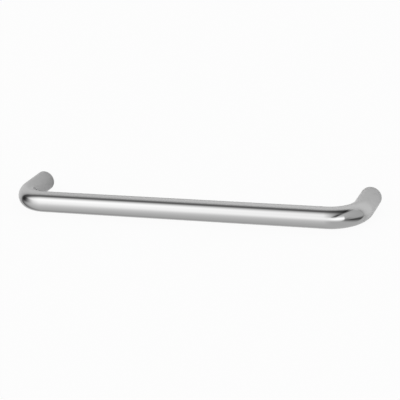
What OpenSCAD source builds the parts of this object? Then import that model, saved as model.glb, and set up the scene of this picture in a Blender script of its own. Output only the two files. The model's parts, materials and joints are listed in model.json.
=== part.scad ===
// D-bar cabinet pull: one length of round bar whose two ends are bent back to
// the drawer or door front. Each end is cut square to make a foot, and each
// foot is drilled and tapped for a fixing screw that comes through the front.
//
// +X runs along the grip, +Y points into the front and +Z is up. The origin is
// midway between the two fixing holes, on the plane that the feet stand on.
// All sizes are in millimetres.

/* [Bar] */
// Diameter of the round bar
bar_d = 9.5; // [8:0.5:12]
// Distance between the centres of the two fixing holes
hole_centres = 160; // [96:32:320]
// From the feet to the front of the grip
projection = 32; // [30:0.5:45]
// Radius of each bend, to the centre line of the bar
bend_r = 13; // [8:0.5:14]

/* [Feet] */
// Radius of the rounded rim round each foot
foot_rim_r = 0.5; // [0.2:0.1:1]

/* [Fixing holes] */
// Nominal diameter of the fixing screw, 4 for M4
screw_d = 4; // [3:0.5:6]
// Pitch of the screw's thread
screw_pitch = 0.7; // [0.5:0.05:1]
// Depth of the tapping hole at its full diameter
tap_depth = 12; // [8:0.5:14]
// Included angle of the drill's point
drill_point_angle = 118; // [90:1:135]
// How far the countersink's mouth stands clear of the thread all round
countersink_margin = 0.1; // [0.05:0.05:0.4]
// Included angle of the countersink
countersink_angle = 90; // [60:5:120]

/* [Hidden] */
$fn = 96;

bar_r = bar_d / 2;
// The tapping drill is one pitch smaller than the screw.
tap_r = (screw_d - screw_pitch) / 2;
countersink_r = screw_d / 2 + countersink_margin;

// The centre line of the grip lies this far in front of the feet.
grip_depth = projection - bar_r;
// Straight lengths of the grip and of each leg, between the bends
grip_length = hole_centres - 2 * bend_r;
leg_length = grip_depth - bend_r;

// Depths of the two cones, from their diameters and included angles
drill_point_depth = tap_r / tan(drill_point_angle / 2);
countersink_depth = (countersink_r - tap_r) / tan(countersink_angle / 2);
// Each hole's cutter stands this far out of the foot, so that the mouth opens
overcut = 1;

// Half section of a leg, with the axis at x = 0 and the foot at the top. The
// foot's rim is a quarter of a circle.
module leg_section() {
    square([bar_r, leg_length - foot_rim_r]);
    square([bar_r - foot_rim_r, leg_length]);
    translate([bar_r - foot_rim_r, leg_length - foot_rim_r])
        circle(foot_rim_r);
}

// Half section of a fixing hole, with the mouth at y = 0: the countersink, the
// tapping hole and the cone that the drill's point leaves
module fixing_hole_section() {
    polygon([
        [0, overcut],
        [countersink_r, overcut],
        [countersink_r, 0],
        [tap_r, -countersink_depth],
        [tap_r, -tap_depth],
        [0, -tap_depth - drill_point_depth]
    ]);
}

// Turns a half section about the Y axis, as a lathe would, so that what points
// up in the section points at the front
module turned() {
    rotate([-90, 0, 0])
        rotate_extrude()
            children();
}

// The straight bar that the hand takes, centred on the origin
module grip() {
    rotate([0, 90, 0])
        cylinder(h = grip_length, r = bar_r, center = true);
}

// A quarter turn of the bar about the Z axis, from the end of the grip to the
// start of the right leg
module bend() {
    rotate([0, 0, -90])
        rotate_extrude(angle = 90)
            translate([bend_r, 0])
                circle(bar_r);
}

// The right leg, from the end of the bend to the foot
module leg() {
    translate([0, -leg_length, 0])
        turned()
            leg_section();
}

// The right fixing hole, with its mouth at the origin
module fixing_hole() {
    turned()
        fixing_hole_section();
}

// Puts its children on the right and their mirror image on the left.
module both_ends() {
    children();
    mirror([1, 0, 0])
        children();
}

// The pull is one solid: the grip, the two bends and the two legs are stretches
// of the same bar.
module bar() {
    color("silver")
        difference() {
            union() {
                translate([0, -grip_depth, 0])
                    grip();
                both_ends() {
                    translate([grip_length / 2, -leg_length, 0])
                        bend();
                    translate([hole_centres / 2, 0, 0])
                        leg();
                }
            }
            both_ends()
                translate([hole_centres / 2, 0, 0])
                    fixing_hole();
        }
}

bar();
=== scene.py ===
"""Looks of a D-bar cabinet pull: one round bar, bent at both ends and chrome plated.

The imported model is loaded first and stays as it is. A finer bar takes its place,
with tapped holes and a polished finish. All lengths are in metres, in the frame of
the CAD: +X along the grip, +Y into the front that the pull is fixed to, and +Z up.
"""
import json
import logging
import math
from dataclasses import dataclass
from enum import Enum

import bmesh
import bpy
from mathutils import Matrix, Quaternion, Vector


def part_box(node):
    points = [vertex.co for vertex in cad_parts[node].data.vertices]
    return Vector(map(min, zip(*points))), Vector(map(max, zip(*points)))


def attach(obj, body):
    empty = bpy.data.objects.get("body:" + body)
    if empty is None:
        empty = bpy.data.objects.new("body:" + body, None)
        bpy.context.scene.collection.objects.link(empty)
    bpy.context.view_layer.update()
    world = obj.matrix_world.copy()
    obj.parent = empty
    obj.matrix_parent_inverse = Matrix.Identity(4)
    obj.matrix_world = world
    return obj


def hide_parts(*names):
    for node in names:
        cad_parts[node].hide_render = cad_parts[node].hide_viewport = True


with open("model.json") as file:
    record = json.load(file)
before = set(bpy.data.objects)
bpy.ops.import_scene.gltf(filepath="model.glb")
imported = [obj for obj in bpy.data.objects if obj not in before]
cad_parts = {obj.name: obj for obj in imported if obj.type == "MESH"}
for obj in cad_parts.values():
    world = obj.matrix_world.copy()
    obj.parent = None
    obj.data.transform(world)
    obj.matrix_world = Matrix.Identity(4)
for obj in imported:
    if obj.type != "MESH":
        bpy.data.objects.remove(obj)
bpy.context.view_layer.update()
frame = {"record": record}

MM = 0.001
NODE = "bar"
BODY = "root"
PIECE = "pull_bar"
# Attribute with the place that each point had on the bar before it was bent
STRAIGHT = "straight_bar"
# Points closer together than this are the same point.
TOUCHING = 0.0001 * MM
# A face this near the plane of the feet, and turned this far towards the front,
# belongs to a foot.
NEAR_FOOT = 0.01 * MM
TURNED_TO_FRONT = 0.99
# Noise seldom leaves this range.
NOISE_LOW = 0.3
NOISE_HIGH = 0.7

log = logging.getLogger("pull")


def linear(hex_colour: str) -> tuple[float, float, float, float]:
    """Turns an sRGB hex colour to linear light.

    Args:
        hex_colour: Six hex digits after a # sign.

    Returns:
        Red, green, blue and an alpha of 1.
    """
    parts = [int(hex_colour[i:i + 2], 16) / 255 for i in (1, 3, 5)]
    light = [c / 12.92 if c <= 0.04045 else ((c + 0.055) / 1.055) ** 2.4 for c in parts]
    return (*light, 1.0)


def add_node(
    tree: bpy.types.NodeTree,
    kind: str,
    settings: dict | None = None,
    links: dict | None = None,
) -> bpy.types.Node:
    """Adds one node with its settings and its links.

    Args:
        tree: The node tree that takes the node.
        kind: The node's type name.
        settings: Properties by name, and values of input sockets by name or number.
        links: Output sockets to link, by the name or number of the input.

    Returns:
        The new node.
    """
    node = tree.nodes.new(kind)
    for name, value in (settings or {}).items():
        if isinstance(name, str) and name in node.bl_rna.properties:
            setattr(node, name, value)
        else:
            node.inputs[name].default_value = value
    for name, source in (links or {}).items():
        tree.links.new(source, node.inputs[name])
    return node


def blank_material(name: str) -> tuple[bpy.types.Material, bpy.types.NodeTree]:
    """Makes a material that has no nodes yet.

    Args:
        name: The material's name.

    Returns:
        The material and its node tree.
    """
    material = bpy.data.materials.new(name)
    material.use_nodes = True
    material.node_tree.nodes.clear()
    return material, material.node_tree


def put_in_scene(bm: bmesh.types.BMesh, name: str) -> bpy.types.Object:
    """Makes an object of a bmesh, at the origin, and frees the bmesh.

    Args:
        bm: The bmesh.
        name: Name of the object and of its mesh.

    Returns:
        The object.
    """
    mesh = bpy.data.meshes.new(name)
    bm.to_mesh(mesh)
    bm.free()
    thing = bpy.data.objects.new(name, mesh)
    bpy.context.scene.collection.objects.link(thing)
    return thing


@dataclass(frozen=True)
class Fade:
    """A soft change from a first level to a last, as a measure goes from start to end."""

    start: float
    end: float
    first: float
    last: float


def fade_along(
    tree: bpy.types.NodeTree, fades: list[tuple[bpy.types.NodeSocket, Fade]]
) -> bpy.types.NodeSocket:
    """Multiplies soft changes, each along a measure of its own.

    Args:
        tree: The node tree.
        fades: Each measure's socket with its change.

    Returns:
        The socket of the product.
    """
    product = None
    for measure, fade in fades:
        level = add_node(
            tree,
            "ShaderNodeMapRange",
            {
                "interpolation_type": "SMOOTHSTEP",
                "From Min": fade.start,
                "From Max": fade.end,
                "To Min": fade.first,
                "To Max": fade.last,
            },
            {"Value": measure},
        ).outputs["Result"]
        if product is not None:
            level = add_node(
                tree, "ShaderNodeMath", {"operation": "MULTIPLY"}, {0: product, 1: level}
            ).outputs[0]
        product = level
    return product


class Finish(Enum):
    """The bar's finishes, in the order of its material slots."""

    POLISHED_CHROME = 0
    FACED_CHROME = 1
    TAPPED_STEEL = 2


@dataclass(frozen=True)
class Metal:
    """A metal whose roughness follows one pattern and whose relief follows another."""

    name: str
    colour: str
    smoothest: float
    roughest: float
    relief: float

    def _patterns(
        self, tree: bpy.types.NodeTree
    ) -> tuple[bpy.types.NodeSocket, bpy.types.NodeSocket]:
        """Adds the two patterns.

        Args:
            tree: The material's node tree.

        Returns:
            The sockets of a noise for the roughness and of a height for the relief,
            where a height of 1 stands for the whole relief.
        """
        raise NotImplementedError

    def make(self) -> bpy.types.Material:
        """Builds the material.

        Returns:
            The material.
        """
        material, tree = blank_material(self.name)
        grain, height = self._patterns(tree)
        roughness = add_node(
            tree,
            "ShaderNodeMapRange",
            {
                "From Min": NOISE_LOW,
                "From Max": NOISE_HIGH,
                "To Min": self.smoothest,
                "To Max": self.roughest,
            },
            {"Value": grain},
        )
        bump = add_node(
            tree,
            "ShaderNodeBump",
            {"Strength": 1.0, "Distance": self.relief},
            {"Height": height},
        )
        shader = add_node(
            tree,
            "ShaderNodeBsdfPrincipled",
            {"Base Color": linear(self.colour), "Metallic": 1.0},
            {"Roughness": roughness.outputs["Result"], "Normal": bump.outputs["Normal"]},
        )
        add_node(tree, "ShaderNodeOutputMaterial", None, {"Surface": shader.outputs["BSDF"]})
        return material


@dataclass(frozen=True)
class PolishedChrome(Metal):
    """Bright chrome, plated over a bar that was polished along its length.

    The eye sees a clean mirror in a neutral grey. The buffing leaves hair-fine
    streaks along the bar that only just soften it, and the plating has a very
    slight waviness, as orange peel has.
    """

    name: str = "polished_chrome"
    colour: str = "#C5C5C5"
    smoothest: float = 0.02
    roughest: float = 0.04
    relief: float = 0.0006 * MM
    wave_length: float = 6 * MM
    # Real buffing marks are too fine to show, so these are drawn wider.
    streak_width: float = 0.25 * MM
    streak_length: float = 30 * MM

    def _patterns(
        self, tree: bpy.types.NodeTree
    ) -> tuple[bpy.types.NodeSocket, bpy.types.NodeSocket]:
        """Adds the streaks and the waves, which follow the bar through its bends.

        Args:
            tree: The material's node tree.

        Returns:
            The sockets of the streaks and of the waves.
        """
        run = add_node(tree, "ShaderNodeAttribute", {"attribute_name": STRAIGHT})
        across = 1 / self.streak_width
        streak_place = add_node(
            tree,
            "ShaderNodeMapping",
            {"Scale": (1 / self.streak_length, across, across)},
            {"Vector": run.outputs["Vector"]},
        )
        streaks = add_node(
            tree,
            "ShaderNodeTexNoise",
            {"Scale": 1.0, "Detail": 3.0, "Roughness": 0.6},
            {"Vector": streak_place.outputs["Vector"]},
        )
        waves = add_node(
            tree,
            "ShaderNodeTexNoise",
            {"Scale": 1 / self.wave_length, "Detail": 1.0, "Roughness": 0.4},
            {"Vector": run.outputs["Vector"]},
        )
        return streaks.outputs["Fac"], waves.outputs["Fac"]


@dataclass(frozen=True)
class FacedChrome(Metal):
    """The end of the bar, faced on a lathe, then plated but not polished.

    The eye sees fine rings about the hole, and a softer shine than on the bar.
    """

    name: str = "faced_chrome"
    colour: str = "#BEBFBF"
    smoothest: float = 0.16
    roughest: float = 0.26
    relief: float = 0.004 * MM
    # How far the lathe's tool moves in one turn
    ring_pitch: float = 0.16 * MM
    wear_size: float = 1.5 * MM
    hole_centres: float = 160 * MM

    def _patterns(
        self, tree: bpy.types.NodeTree
    ) -> tuple[bpy.types.NodeSocket, bpy.types.NodeSocket]:
        """Adds patchy wear, and rings about the axis of each hole.

        Args:
            tree: The material's node tree.

        Returns:
            The sockets of the wear and of the rings.
        """
        place = add_node(tree, "ShaderNodeTexCoord").outputs["Object"]
        parts = add_node(tree, "ShaderNodeSeparateXYZ", None, {"Vector": place})
        right = add_node(tree, "ShaderNodeMath", {"operation": "ABSOLUTE"}, {0: parts.outputs["X"]})
        across = add_node(
            tree,
            "ShaderNodeMath",
            {"operation": "SUBTRACT", 1: self.hole_centres / 2},
            {0: right.outputs[0]},
        )
        arm = add_node(
            tree, "ShaderNodeCombineXYZ", None, {"X": across.outputs[0], "Z": parts.outputs["Z"]}
        )
        radius = add_node(
            tree, "ShaderNodeVectorMath", {"operation": "LENGTH"}, {0: arm.outputs["Vector"]}
        )
        turns = add_node(
            tree,
            "ShaderNodeMath",
            {"operation": "MULTIPLY", 1: 2 * math.pi / self.ring_pitch},
            {0: radius.outputs["Value"]},
        )
        rings = add_node(tree, "ShaderNodeMath", {"operation": "SINE"}, {0: turns.outputs[0]})
        wear = add_node(
            tree,
            "ShaderNodeTexNoise",
            {"Scale": 1 / self.wear_size, "Detail": 3.0},
            {"Vector": place},
        )
        return wear.outputs["Fac"], rings.outputs[0]


@dataclass(frozen=True)
class TappedSteel(Metal):
    """The wall of a tapped hole, where hardly any plating reaches.

    The eye sees dull, darker steel with the small tears that a tap leaves.
    """

    name: str = "tapped_steel"
    colour: str = "#989898"
    smoothest: float = 0.3
    roughest: float = 0.5
    relief: float = 0.005 * MM
    tear_size: float = 0.12 * MM

    def _patterns(
        self, tree: bpy.types.NodeTree
    ) -> tuple[bpy.types.NodeSocket, bpy.types.NodeSocket]:
        """Adds the tears, which are both rough and raised.

        Args:
            tree: The material's node tree.

        Returns:
            The socket of the tears, twice.
        """
        place = add_node(tree, "ShaderNodeTexCoord")
        tears = add_node(
            tree,
            "ShaderNodeTexNoise",
            {"Scale": 1 / self.tear_size, "Detail": 2.0},
            {"Vector": place.outputs["Object"]},
        )
        return tears.outputs["Fac"], tears.outputs["Fac"]


@dataclass
class FixingHole:
    """A blind hole in a foot: countersunk, drilled, and tapped for an M4 screw."""

    tap_r: float
    screw_r: float = 2.0 * MM
    pitch: float = 0.7 * MM
    flank_angle: float = math.radians(30)
    countersink_margin: float = 0.1 * MM
    countersink_angle: float = math.radians(90)
    depth: float = 12 * MM
    point_angle: float = math.radians(118)
    thread_depth: float = 10.5 * MM
    # How far the thread's cutter reaches into the open hole
    cutter_overlap: float = 0.1 * MM
    steps_per_turn: int = 48
    # Radius of each ring on the drill's point, as a share of the drill's own
    point_rings: tuple[float, ...] = (0.5, 0.25)

    @property
    def mouth_r(self) -> float:
        """Radius of the countersink at the foot."""
        return self.screw_r + self.countersink_margin

    @property
    def countersink_depth(self) -> float:
        """Depth of the countersink."""
        return (self.mouth_r - self.tap_r) / math.tan(self.countersink_angle / 2)

    @property
    def point_depth(self) -> float:
        """Depth of the cone that the drill's point leaves."""
        return self.tap_r / math.tan(self.point_angle / 2)

    def rings(self) -> list[tuple[float, float]]:
        """Lists the rings of the hole's wall.

        Returns:
            Radius and depth of each ring, from the mouth to the drill's point.
        """
        point = [
            (self.tap_r * share, self.depth + self.point_depth * (1 - share))
            for share in self.point_rings
        ]
        return [
            (self.mouth_r, 0.0),
            (self.tap_r, self.countersink_depth),
            (self.tap_r, self.depth),
            *point,
        ]

    def thread_cutter(self, centre: Vector) -> bmesh.types.BMesh:
        """Makes the helical groove that a tap cuts, as a closed solid.

        The groove's section is open towards the axis and ends in a flat, an eighth
        of the pitch wide, at the screw's own radius.

        Args:
            centre: The hole's axis at the foot.

        Returns:
            A new bmesh, which the caller frees.
        """
        half_flat = self.pitch / 16
        inner_r = self.tap_r - self.cutter_overlap
        half_open = half_flat + (self.screw_r - inner_r) * math.tan(self.flank_angle)
        section = [
            (inner_r, -half_open),
            (self.screw_r, -half_flat),
            (self.screw_r, half_flat),
            (inner_r, half_open),
        ]
        bm = bmesh.new()
        # The first turn starts outside the foot, one pitch out from it.
        corners = [bm.verts.new((r, self.pitch + y, 0)) for r, y in section]
        face = bm.faces.new(corners)
        steps = round((self.thread_depth / self.pitch + 1) * self.steps_per_turn)
        bmesh.ops.spin(
            bm,
            geom=[face, *face.edges, *face.verts],
            cent=(0, 0, 0),
            axis=(0, 1, 0),
            dvec=Vector((0, -self.pitch / self.steps_per_turn, 0)),
            angle=2 * math.pi * steps / self.steps_per_turn,
            steps=steps,
            use_duplicate=False,
        )
        bmesh.ops.translate(bm, verts=bm.verts, vec=centre)
        bmesh.ops.remove_doubles(bm, verts=bm.verts, dist=TOUCHING)
        bmesh.ops.recalc_face_normals(bm, faces=bm.faces)
        return bm


@dataclass
class PullBar:
    """The pull itself: a round bar with a bend, a leg and a tapped foot at each end.

    A narrow ring of faces supports the shading wherever a straight part meets a bend
    or a foot.
    """

    bar_d: float
    hole_centres: float
    projection: float
    hole: FixingHole
    bend_r: float = 13 * MM
    rim_r: float = 0.5 * MM
    sides: int = 144
    grip_rings: int = 24
    bend_rings: int = 48
    leg_rings: int = 6
    rim_segments: int = 8
    support: float = 0.1 * MM
    sharp_angle: float = math.radians(30)

    @property
    def bar_r(self) -> float:
        """Radius of the bar."""
        return self.bar_d / 2

    @property
    def grip_y(self) -> float:
        """Place of the grip's centre line in front of the feet."""
        return -(self.projection - self.bar_r)

    @property
    def bend_centre(self) -> Vector:
        """Centre of the right bend."""
        return Vector((self.hole_centres / 2 - self.bend_r, self.grip_y + self.bend_r, 0))

    @property
    def foot_centre(self) -> Vector:
        """Centre of the right foot."""
        return Vector((self.hole_centres / 2, 0, 0))

    def _extrude(
        self,
        bm: bmesh.types.BMesh,
        edges: list[bmesh.types.BMEdge],
        move: Vector,
        count: int = 1,
    ) -> list[bmesh.types.BMEdge]:
        """Draws a ring of edges out in a straight line.

        Args:
            bm: The mesh.
            edges: The ring.
            move: The whole way that the ring goes.
            count: Number of rings that it leaves.

        Returns:
            The last ring's edges.
        """
        for _ in range(count):
            made = bmesh.ops.extrude_edge_only(bm, edges=edges)["geom"]
            edges = [g for g in made if isinstance(g, bmesh.types.BMEdge)]
            verts = [g for g in made if isinstance(g, bmesh.types.BMVert)]
            bmesh.ops.translate(bm, verts=verts, vec=move / count)
        return edges

    def _sink(
        self,
        bm: bmesh.types.BMesh,
        edges: list[bmesh.types.BMEdge],
        share: float,
        depth: float,
    ) -> list[bmesh.types.BMEdge]:
        """Extrudes a foot's ring, narrows it about the hole's axis and sinks it.

        Args:
            bm: The mesh.
            edges: The ring.
            share: The new radius over the old one.
            depth: How far the new ring goes into the foot from the old one.

        Returns:
            The new ring's edges.
        """
        edges = self._extrude(bm, edges, Vector((0, -depth, 0)))
        verts = list(dict.fromkeys(v for e in edges for v in e.verts))
        to_axis = Matrix.Translation(-self.foot_centre)
        bmesh.ops.scale(bm, verts=verts, vec=(share, 1, share), space=to_axis)
        return edges

    def _sweep(self, bm: bmesh.types.BMesh) -> list[bmesh.types.BMEdge]:
        """Sweeps the bar's circle from the middle of the grip to the right foot.

        Args:
            bm: An empty mesh, which takes the wall of the bar.

        Returns:
            The edges of the ring at the foot.
        """
        upright = Matrix.Translation((0, self.grip_y, 0)) @ Matrix.Rotation(math.pi / 2, 4, "Y")
        circle = bmesh.ops.create_circle(
            bm, cap_ends=False, segments=self.sides, radius=self.bar_r, matrix=upright
        )
        edges = list(dict.fromkeys(e for v in circle["verts"] for e in v.link_edges))
        grip_support = Vector((self.support, 0, 0))
        leg_support = Vector((0, self.support, 0))
        grip = Vector((self.bend_centre.x, 0, 0))
        edges = self._extrude(bm, edges, grip - grip_support, self.grip_rings)
        edges = self._extrude(bm, edges, grip_support)
        swept = bmesh.ops.spin(
            bm,
            geom=edges,
            cent=self.bend_centre,
            axis=(0, 0, 1),
            angle=math.pi / 2,
            steps=self.bend_rings,
            use_duplicate=False,
        )
        edges = [g for g in swept["geom_last"] if isinstance(g, bmesh.types.BMEdge)]
        leg = Vector((0, -self.bend_centre.y, 0))
        before_rim = Vector((0, self.rim_r, 0)) + 2 * leg_support
        edges = self._extrude(bm, edges, leg_support)
        edges = self._extrude(bm, edges, leg - before_rim, self.leg_rings)
        return self._extrude(bm, edges, before_rim - leg_support)

    def _right_half(self) -> bmesh.types.BMesh:
        """Builds the right half of the bar, open at the middle of the grip.

        Returns:
            A new bmesh, which the caller frees.
        """
        bm = bmesh.new()
        rim = edges = self._sweep(bm)
        radius, depth = self.bar_r, 0.0
        for next_radius, next_depth in self.hole.rings():
            edges = self._sink(bm, edges, next_radius / radius, next_depth - depth)
            radius, depth = next_radius, next_depth
        bmesh.ops.pointmerge(
            bm,
            verts=list(dict.fromkeys(v for e in edges for v in e.verts)),
            merge_co=self.foot_centre - Vector((0, self.hole.depth + self.hole.point_depth, 0)),
        )
        bmesh.ops.bevel(
            bm,
            geom=rim,
            offset=self.rim_r,
            offset_type="OFFSET",
            affect="EDGES",
            segments=self.rim_segments,
            profile=0.5,
            material=-1,
        )
        return bm

    def _whole(self) -> bmesh.types.BMesh:
        """Mirrors the right half to the left and closes the seam.

        Returns:
            A new bmesh of the whole bar, which the caller frees.
        """
        bm = self._right_half()
        bmesh.ops.mirror(
            bm,
            geom=[*bm.verts, *bm.edges, *bm.faces],
            matrix=Matrix.Identity(4),
            merge_dist=TOUCHING,
            axis="X",
        )
        bmesh.ops.remove_doubles(bm, verts=bm.verts, dist=TOUCHING)
        bmesh.ops.recalc_face_normals(bm, faces=bm.faces)
        return bm

    def _cut_threads(self, piece: bpy.types.Object) -> None:
        """Cuts both threads into the bar.

        Args:
            piece: The bar's object, whose mesh is replaced.
        """
        cutters = []
        for side in (1, -1):
            centre = Vector((side * self.foot_centre.x, 0, 0))
            cutters.append(put_in_scene(self.hole.thread_cutter(centre), "thread_cutter"))
            cut = piece.modifiers.new("thread", "BOOLEAN")
            cut.operation = "DIFFERENCE"
            cut.solver = "MANIFOLD"
            cut.object = cutters[-1]
        uncut = piece.data
        threaded = piece.evaluated_get(bpy.context.evaluated_depsgraph_get())
        piece.data = bpy.data.meshes.new_from_object(threaded)
        piece.modifiers.clear()
        bpy.data.meshes.remove(uncut)
        piece.data.name = PIECE
        for cutter in cutters:
            bpy.data.objects.remove(cutter)

    def _straightened(self, point: Vector) -> Vector:
        """Finds where a point of the bar would be if the bar had not been bent.

        Args:
            point: A point on the bar.

        Returns:
            Distance along the centre line from the middle of the grip, and the two
            distances across from the centre line.
        """
        side = math.copysign(1, point.x)
        x, y, z = abs(point.x), point.y, point.z
        centre = self.bend_centre
        if x <= centre.x:
            return Vector((side * x, self.grip_y - y, z))
        if y < centre.y:
            arm = Vector((x - centre.x, y - centre.y))
            turned = math.atan2(arm.x, -arm.y)
            return Vector((side * (centre.x + self.bend_r * turned), arm.length - self.bend_r, z))
        straight = centre.x + self.bend_r * math.pi / 2 + y - centre.y
        return Vector((side * straight, x - self.hole_centres / 2, z))

    def _finish_of(self, face: bmesh.types.BMFace) -> Finish:
        """Tells which finish a face has.

        Args:
            face: A face of the bar.

        Returns:
            The finish.
        """
        middle = face.calc_center_median()
        from_axis = Vector((abs(middle.x) - self.foot_centre.x, middle.z)).length
        if from_axis < self.hole.mouth_r and middle.y > self.bend_centre.y:
            return Finish.TAPPED_STEEL
        if middle.y > -NEAR_FOOT and face.normal.y > TURNED_TO_FRONT:
            return Finish.FACED_CHROME
        return Finish.POLISHED_CHROME

    def _mark(self, mesh: bpy.types.Mesh) -> None:
        """Gives each face its finish and shading, and each point its straightened place.

        Args:
            mesh: The bar's mesh.
        """
        bm = bmesh.new()
        bm.from_mesh(mesh)
        # The cut leaves a few needless points on edges, which would make flat flaps
        # when the faces are divided into triangles.
        bmesh.ops.dissolve_verts(bm, verts=[v for v in bm.verts if len(v.link_edges) == 2])
        run = bm.verts.layers.float_vector.new(STRAIGHT)
        for vert in bm.verts:
            vert[run] = self._straightened(vert.co)
        for face in bm.faces:
            face.smooth = True
            face.material_index = self._finish_of(face).value
        for edge in bm.edges:
            edge.smooth = len(edge.link_faces) == 2 and edge.calc_face_angle() < self.sharp_angle
        bm.to_mesh(mesh)
        bm.free()

    def build(self) -> bpy.types.Object:
        """Builds the bar, dresses it and sets it on its body.

        Returns:
            The finished piece.
        """
        piece = put_in_scene(self._whole(), PIECE)
        self._cut_threads(piece)
        metals = {
            Finish.POLISHED_CHROME: PolishedChrome(),
            Finish.FACED_CHROME: FacedChrome(hole_centres=self.hole_centres),
            Finish.TAPPED_STEEL: TappedSteel(),
        }
        piece.data.materials.clear()
        for finish in Finish:
            piece.data.materials.append(metals[finish].make())
        self._mark(piece.data)
        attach(piece, BODY)
        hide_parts(NODE)
        return piece


@dataclass(frozen=True)
class Aim:
    """A direction as seen from the bar.

    Both angles are in degrees: how far it lies to the right of straight ahead, and
    how far above level.
    """

    right: float
    up: float

    def vector(self) -> Vector:
        """Unit vector of the direction."""
        right, up = math.radians(self.right), math.radians(self.up)
        return Vector(
            (math.sin(right) * math.cos(up), -math.cos(right) * math.cos(up), math.sin(up))
        )


@dataclass(frozen=True)
class Globe:
    """A globe round the bar, on which the studio's lights have latitude and longitude.

    Its axes point at the north pole, and on the equator at 0 and at 90 degrees.
    """

    north: tuple[float, float, float]
    zero: tuple[float, float, float]
    quarter: tuple[float, float, float]


# The first globe's north is to the right along the bar, the second's straight up.
ABOUT_BAR = Globe((1, 0, 0), (0, -1, 0), (0, 0, 1))
ABOUT_PLUMB = Globe((0, 0, 1), (0, -1, 0), (1, 0, 0))


@dataclass(frozen=True)
class Edge:
    """One edge of a light: where it is and how many degrees it takes to fade."""

    at: float
    width: float

    def fade(self, first: float, last: float) -> Fade:
        """The edge as a soft change, in radians."""
        half = self.width / 2
        return Fade(math.radians(self.at - half), math.radians(self.at + half), first, last)


@dataclass(frozen=True)
class Patch:
    """A soft-edged light or dark opening, as the polished bar sees it.

    The level is its brightness, where 1 is white. South and north are degrees of
    latitude on the globe, west and east degrees of longitude, and a side without an
    edge is open.
    """

    name: str
    level: float
    south: Edge
    north: Edge | None = None
    west: Edge | None = None
    east: Edge | None = None
    globe: Globe = ABOUT_PLUMB


@dataclass(frozen=True)
class Band:
    """A light or dark gap that runs from one direction to another.

    Its sides lie so many degrees to the right and the left of that line, as one
    looks along it, and its ends fade over so many degrees.
    """

    name: str
    level: float
    start: Aim
    end: Aim
    right_side: Edge
    left_side: Edge
    start_fade: float
    end_fade: float

    def patch(self) -> Patch:
        """Puts the band on a globe whose equator is its line.

        Returns:
            The same band as a patch.
        """
        start, end = self.start.vector(), self.end.vector()
        north = start.cross(end).normalized()
        length = math.degrees(start.angle(end))
        return Patch(
            self.name,
            self.level,
            south=Edge(-self.right_side.at, self.right_side.width),
            north=self.left_side,
            west=Edge(0, self.start_fade),
            east=Edge(length, self.end_fade),
            globe=Globe(tuple(north), tuple(start), tuple(north.cross(start))),
        )


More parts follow.
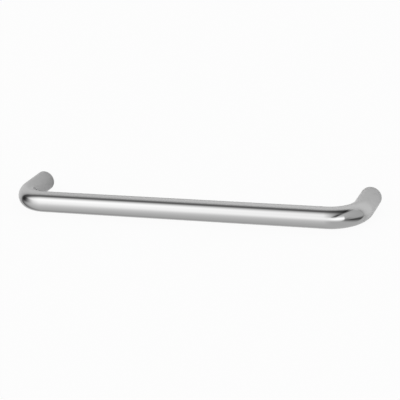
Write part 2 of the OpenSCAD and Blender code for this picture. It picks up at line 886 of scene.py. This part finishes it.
@dataclass
class Studio:
    """A white tent round the bar, lit through one wide panel, with dark openings.

    The polished metal mirrors the tent, which also lights the floor and the card. The
    camera sees plain white. Below the tent's wall is the table, and each light covers
    those before it.
    """

    table_level: float = 0.66
    lights: tuple[Patch | Band, ...] = (
        Patch("tent_wall", 0.94, Edge(35, 57)),
        Patch(
            "soft_panel", 2.62,
            Edge(-67, 91), Edge(-10.5, 38), Edge(31.5, 225), Edge(92.5, 8), ABOUT_BAR,
        ),
        Patch(
            "gap_overhead", 0.01,
            Edge(-75, 20), Edge(28.5, 46), Edge(64, 55), Edge(103.5, 44), ABOUT_BAR,
        ),
        Band(
            "gap_shoulder", 0.02,
            Aim(98.5, 60.5), Aim(10.5, 17.5), Edge(7, 4), Edge(2, 3), 32, 3,
        ),
        Band(
            "gap_beside_panel", 0.01,
            Aim(125.5, 68), Aim(15, 15.5), Edge(7.5, 22), Edge(2, 3), 19, 2,
        ),
        Patch(
            "tent_opening", 0.01,
            Edge(-10, 22), Edge(20, 13), Edge(-95.5, 3), Edge(-67, 45),
        ),
        Band(
            "tent_slit", 0.06,
            Aim(-84.5, 35.5), Aim(-95.5, -61), Edge(14, 13), Edge(1, 38), 28, 68,
        ),
        Band(
            "lamp", 3.29,
            Aim(0, 0), Aim(42, -2), Edge(1, 47), Edge(19, 41), 101, 3,
        ),
        Band(
            "table_edge", 0.01,
            Aim(37, -11), Aim(101.5, -39), Edge(1.5, 32), Edge(20.5, 30), 7, 7,
        ),
        Patch(
            "side_wall", 0.6,
            Edge(-11.5, 7), Edge(59.5, 11), Edge(52.5, 114), Edge(103, 5),
        ),
    )

    def _place(
        self, tree: bpy.types.NodeTree, way: bpy.types.NodeSocket, globe: Globe
    ) -> tuple[bpy.types.NodeSocket, bpy.types.NodeSocket]:
        """Works out a ray's latitude and longitude on a globe.

        Args:
            tree: The world's node tree.
            way: The direction that the ray takes.
            globe: The globe.

        Returns:
            The sockets of latitude and longitude, in radians.
        """
        dots = [
            add_node(tree, "ShaderNodeVectorMath", {"operation": "DOT_PRODUCT", 1: axis}, {0: way})
            for axis in (globe.north, globe.zero, globe.quarter)
        ]
        up, ahead, aside = (d.outputs["Value"] for d in dots)
        latitude = add_node(tree, "ShaderNodeMath", {"operation": "ARCSINE"}, {0: up})
        longitude = add_node(tree, "ShaderNodeMath", {"operation": "ARCTAN2"}, {0: aside, 1: ahead})
        return latitude.outputs[0], longitude.outputs[0]

    def build(self) -> bpy.types.World:
        """Builds the world and sets it on the scene.

        Returns:
            The world.
        """
        world = bpy.data.worlds.new("studio")
        bpy.context.scene.world = world
        world.use_nodes = True
        tree = world.node_tree
        tree.nodes.clear()
        way = add_node(tree, "ShaderNodeTexCoord").outputs["Generated"]
        patches = [light.patch() if isinstance(light, Band) else light for light in self.lights]
        places = {
            globe: self._place(tree, way, globe)
            for globe in dict.fromkeys(patch.globe for patch in patches)
        }
        level = add_node(tree, "ShaderNodeValue")
        level.outputs[0].default_value = self.table_level
        level = level.outputs[0]
        for patch in patches:
            latitude, longitude = places[patch.globe]
            sides = (
                (latitude, patch.south, 0, 1),
                (latitude, patch.north, 1, 0),
                (longitude, patch.west, 0, 1),
                (longitude, patch.east, 1, 0),
            )
            fades = [
                (measure, edge.fade(first, last)) for measure, edge, first, last in sides if edge
            ]
            share = fade_along(tree, fades)
            level = add_node(
                tree, "ShaderNodeMix", {"data_type": "FLOAT", 3: patch.level}, {0: share, 2: level}
            ).outputs[0]
        path = add_node(tree, "ShaderNodeLightPath")
        lit = add_node(
            tree,
            "ShaderNodeMath",
            {"operation": "MAXIMUM"},
            {0: path.outputs["Is Glossy Ray"], 1: path.outputs["Is Diffuse Ray"]},
        )
        strength = add_node(
            tree, "ShaderNodeMix", {"data_type": "FLOAT", 2: 1.0}, {0: lit.outputs[0], 3: level}
        )
        light = add_node(
            tree,
            "ShaderNodeBackground",
            {"Color": linear("#FFFFFF")},
            {"Strength": strength.outputs[0]},
        )
        add_node(tree, "ShaderNodeOutputWorld", None, {"Surface": light.outputs["Background"]})
        return world


@dataclass(frozen=True)
class WhitePaper:
    """Matt white paper, which keeps a faint shadow.

    The eye sees clean white. Most of that is a plain white that the camera sees, as
    do rays off gloss and through glass, and the rest is paper that takes the light.
    """

    colour: str = "#F9F9F9"
    white_share: float = 0.93

    def make(self) -> bpy.types.Material:
        """Builds the material.

        Returns:
            The material.
        """
        material, tree = blank_material("white_paper")
        paper = add_node(tree, "ShaderNodeBsdfDiffuse", {"Color": linear(self.colour)})
        glow = add_node(tree, "ShaderNodeEmission", {"Color": linear("#FFFFFF"), "Strength": 1.0})
        path = add_node(tree, "ShaderNodeLightPath")
        seen = path.outputs["Is Camera Ray"]
        for ray in ("Is Glossy Ray", "Is Transmission Ray"):
            seen = add_node(
                tree, "ShaderNodeMath", {"operation": "MAXIMUM"}, {0: seen, 1: path.outputs[ray]}
            ).outputs[0]
        share = add_node(
            tree, "ShaderNodeMath", {"operation": "MULTIPLY", 1: self.white_share}, {0: seen}
        )
        mixed = add_node(
            tree,
            "ShaderNodeMixShader",
            None,
            {0: share.outputs[0], 1: paper.outputs["BSDF"], 2: glow.outputs["Emission"]},
        )
        add_node(tree, "ShaderNodeOutputMaterial", None, {"Surface": mixed.outputs["Shader"]})
        return material


@dataclass
class Floor:
    """The pale floor that the pull lies on.

    Only the camera sees it. The metal mirrors the lower half of the studio instead.
    """

    height: float
    radius: float = 8.0
    sides: int = 64

    def build(self) -> bpy.types.Object:
        """Builds the floor, which is a stage and no part of the pull.

        Returns:
            The floor.
        """
        bm = bmesh.new()
        bmesh.ops.create_circle(
            bm,
            cap_ends=True,
            segments=self.sides,
            radius=self.radius,
            matrix=Matrix.Translation((0, 0, self.height)),
        )
        bmesh.ops.recalc_face_normals(bm, faces=bm.faces)
        floor = put_in_scene(bm, "floor")
        floor.data.materials.append(WhitePaper().make())
        floor.visible_glossy = False
        floor.visible_diffuse = False
        floor.visible_shadow = False
        return floor


@dataclass(frozen=True)
class MattCard:
    """Matt white card in soft light.

    The eye, in the mirror of the legs, sees white that greys towards the card's
    left, its ends and its edges, which is painted shade where less light falls, and
    greys a little more where it is close to the pull, which is a painted shadow of
    the pull.
    """

    colour: str = "#FAFAFA"
    # Painted shade: the card's white darkens towards its left, its ends and its lower and upper
    # edges, where less light falls, and close to the pull as a painted shadow.
    left_side: Fade = Fade(-140 * MM, 40 * MM, 0.86, 1)
    left_end_shade: Fade = Fade(-250 * MM, -110 * MM, 0.6, 1)
    right_end_shade: Fade = Fade(105 * MM, 230 * MM, 1, 0.62)
    lower_edge_shade: Fade = Fade(-40 * MM, 0, 0.68, 1)
    upper_edge_shade: Fade = Fade(20 * MM, 95 * MM, 1, 0.82)
    painted_shadow_near_pull: Fade = Fade(12 * MM, 26 * MM, 0.85, 1)

    def make(self, hole_centres: float) -> bpy.types.Material:
        """Builds the material.

        Args:
            hole_centres: Distance between the middles of the two feet.

        Returns:
            The material.
        """
        material, tree = blank_material("matt_card")
        place = add_node(tree, "ShaderNodeTexCoord")
        parts = add_node(tree, "ShaderNodeSeparateXYZ", None, {"Vector": place.outputs["Object"]})
        x, z = parts.outputs["X"], parts.outputs["Z"]
        # Distance from the feet and the line between them, which the painted shadow of the pull
        # follows.
        right = add_node(tree, "ShaderNodeMath", {"operation": "ABSOLUTE"}, {0: x})
        past_foot = add_node(
            tree,
            "ShaderNodeMath",
            {"operation": "SUBTRACT", 1: hole_centres / 2},
            {0: right.outputs[0]},
        )
        aside = add_node(
            tree, "ShaderNodeMath", {"operation": "MAXIMUM", 1: 0}, {0: past_foot.outputs[0]}
        )
        arm = add_node(tree, "ShaderNodeCombineXYZ", None, {"X": aside.outputs[0], "Z": z})
        from_pull = add_node(
            tree, "ShaderNodeVectorMath", {"operation": "LENGTH"}, {0: arm.outputs["Vector"]}
        )
        # The card's white, times its painted shade.
        white = fade_along(
            tree,
            [
                (x, self.left_side),
                (x, self.left_end_shade),
                (x, self.right_end_shade),
                (z, self.lower_edge_shade),
                (z, self.upper_edge_shade),
                # Painted shadow of the pull: the card's white is darker within 26 mm of it.
                (from_pull.outputs["Value"], self.painted_shadow_near_pull),
            ],
        )
        shade = add_node(
            tree,
            "ShaderNodeMix",
            {"data_type": "RGBA", 6: linear("#000000"), 7: linear(self.colour)},
            {0: white},
        )
        card = add_node(tree, "ShaderNodeBsdfDiffuse", None, {"Color": shade.outputs[2]})
        add_node(tree, "ShaderNodeOutputMaterial", None, {"Surface": card.outputs["BSDF"]})
        return material


@dataclass
class WhiteCard:
    """A white card behind the feet, as the front that the pull is screwed to.

    The camera doesn't see it, only the polished metal does: the legs mirror it, with
    the shade that the pull throws on it, deepened close to the pull by a painted
    shadow. Each foot stands in a round hole.
    """

    hole_centres: float
    foot_r: float
    half_width: float = 240 * MM
    bottom: float = -35 * MM
    top: float = 95 * MM
    gap: float = 0.3 * MM
    hole_sides: int = 96

    def build(self) -> bpy.types.Object:
        """Builds the card, which is a stage and no part of the pull.

        Returns:
            The card.
        """
        bm = bmesh.new()
        corners = [
            (side * self.half_width, self.gap, height)
            for side, height in ((-1, self.bottom), (1, self.bottom), (1, self.top), (-1, self.top))
        ]
        verts = [bm.verts.new(corner) for corner in corners]
        edges = [bm.edges.new((verts[i - 1], verts[i])) for i in range(len(verts))]
        for side in (1, -1):
            centre = Matrix.Translation((side * self.hole_centres / 2, self.gap, 0))
            circle = bmesh.ops.create_circle(
                bm,
                cap_ends=False,
                segments=self.hole_sides,
                radius=self.foot_r + self.gap,
                matrix=centre @ Matrix.Rotation(math.pi / 2, 4, "X"),
            )
            edges.extend(dict.fromkeys(e for v in circle["verts"] for e in v.link_edges))
        bmesh.ops.triangle_fill(
            bm, use_beauty=True, use_dissolve=False, edges=edges, normal=(0, -1, 0)
        )
        card = put_in_scene(bm, "white_card")
        card.data.materials.append(MattCard().make(self.hole_centres))
        card.visible_camera = False
        card.visible_diffuse = False
        card.visible_shadow = False
        return card


@dataclass
class PhotoCamera:
    """The photograph's camera, fitted to the outline of the bar."""

    azimuth: float = 22.114
    elevation: float = 20.309
    roll: float = -4.930
    distance: float = 551.89 * MM
    aim: tuple[float, float, float] = (10.301 * MM, -27.25 * MM, 4.957 * MM)
    focal_px: float = 1262.47
    frame_px: int = 400
    sensor_mm: float = 36.0
    nearest: float = 0.01
    farthest: float = 100.0

    def build(self) -> bpy.types.Object:
        """Builds the camera and makes it the scene's own.

        Returns:
            The camera.
        """
        data = bpy.data.cameras.new("photo_camera")
        data.sensor_width = self.sensor_mm
        data.lens = self.focal_px / self.frame_px * self.sensor_mm
        data.clip_start = self.nearest
        data.clip_end = self.farthest
        camera = bpy.data.objects.new("photo_camera", data)
        bpy.context.scene.collection.objects.link(camera)
        back = Aim(self.azimuth, self.elevation).vector()
        level = (-back).to_track_quat("-Z", "Y")
        camera.location = Vector(self.aim) + back * self.distance
        camera.rotation_mode = "QUATERNION"
        camera.rotation_quaternion = level @ Quaternion((0, 0, 1), math.radians(self.roll))
        bpy.context.scene.camera = camera
        return camera


def pull_from_frame() -> PullBar:
    """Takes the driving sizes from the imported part.

    Returns:
        The bar, not built yet.
    """
    low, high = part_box(NODE)
    mounts = {m["name"]: m for m in frame["record"]["mounts"]}
    holes = mounts["fixing_holes"]["dims"]
    centres = holes["spacing_x_mm"] * MM
    return PullBar(
        bar_d=high.x - low.x - centres,
        hole_centres=centres,
        projection=high.y - low.y,
        hole=FixingHole(tap_r=holes["hole_r_mm"] * MM),
    )


def main() -> None:
    """Builds the camera, the pull and the studio in order."""
    logging.basicConfig(level=logging.INFO, format="%(name)s: %(message)s")
    bpy.context.scene.view_settings.view_transform = "Standard"
    camera = PhotoCamera().build()
    log.info("%s: lens %.1f mm", camera.name, camera.data.lens)
    pull = pull_from_frame()
    piece = pull.build()
    log.info("%s: %d faces", piece.name, len(piece.data.polygons))
    low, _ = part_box(NODE)
    floor = Floor(height=low.z).build()
    log.info("%s: %d face", floor.name, len(floor.data.polygons))
    card = WhiteCard(pull.hole_centres, pull.bar_r).build()
    log.info("%s: %d faces", card.name, len(card.data.polygons))
    world = Studio().build()
    log.info("%s: %d nodes", world.name, len(world.node_tree.nodes))


if __name__ == "__main__":
    main()
